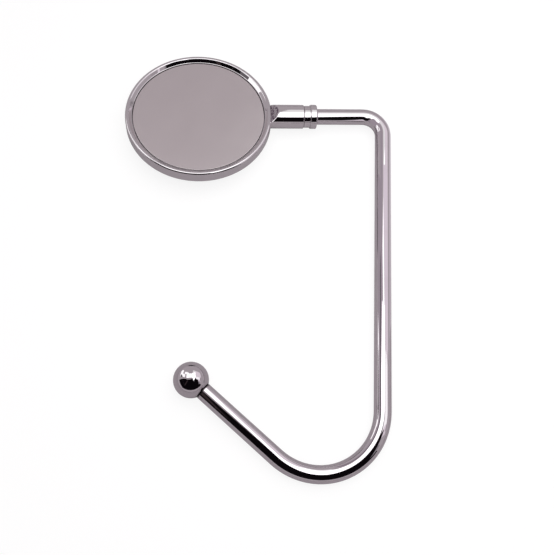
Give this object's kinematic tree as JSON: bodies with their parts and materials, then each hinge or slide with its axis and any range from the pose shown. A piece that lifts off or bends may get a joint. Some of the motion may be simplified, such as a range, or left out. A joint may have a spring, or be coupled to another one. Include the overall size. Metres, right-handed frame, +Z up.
{
  "type": "purse hook",
  "caption": "Purse hook: a round padded head rests on a table top and a bent rod with a ball end swivels below the edge to hold a bag.",
  "frame": {"origin": "middle of the underside of the box round the part, as it lies on a table with its hook almost flat", "axes": "+Z up from the table; +X along the neck from the head to the arm, which slopes 2.5 degrees down; +Y from the hook's bend towards the head"},
  "size_m": [0.0818, 0.1308, 0.0111],
  "materials": {
    "plated_casting": "polished bright plating on a zinc casting",
    "face_plate": "fine satin, grey with a slight mauve tint",
    "adhesive_film": "double-sided adhesive film",
    "pad_rubber": "matte black non-slip rubber",
    "plated_collar": "polished bright plating on a turned collar",
    "bush_nylon": "natural nylon",
    "washer_steel": "plain steel",
    "spring_steel": "hardened spring steel",
    "plated_rod": "polished bright plating on a bent steel rod",
    "plated_ball": "polished bright plating on a ball"
  },
  "bodies": {
    "head": {"head_casting": "plated_casting", "face_plate": "face_plate", "face_film": "adhesive_film", "grip_pad": "pad_rubber", "pad_film": "adhesive_film", "end_collar": "plated_collar", "swivel_bush": "bush_nylon"},
    "hook": {"hook_rod": "plated_rod", "ball_tip": "plated_ball", "thrust_washer": "washer_steel", "wave_washer": "spring_steel", "retaining_clip": "spring_steel"}
  },
  "joints": [
    {"name": "hook_swivel", "type": "hinge", "parent": "head", "child": "hook", "pos_m": [0.01407, 0.04294, 0.00516], "axis": [0.9991, 0, -0.0431], "continuous": true}
  ]
}
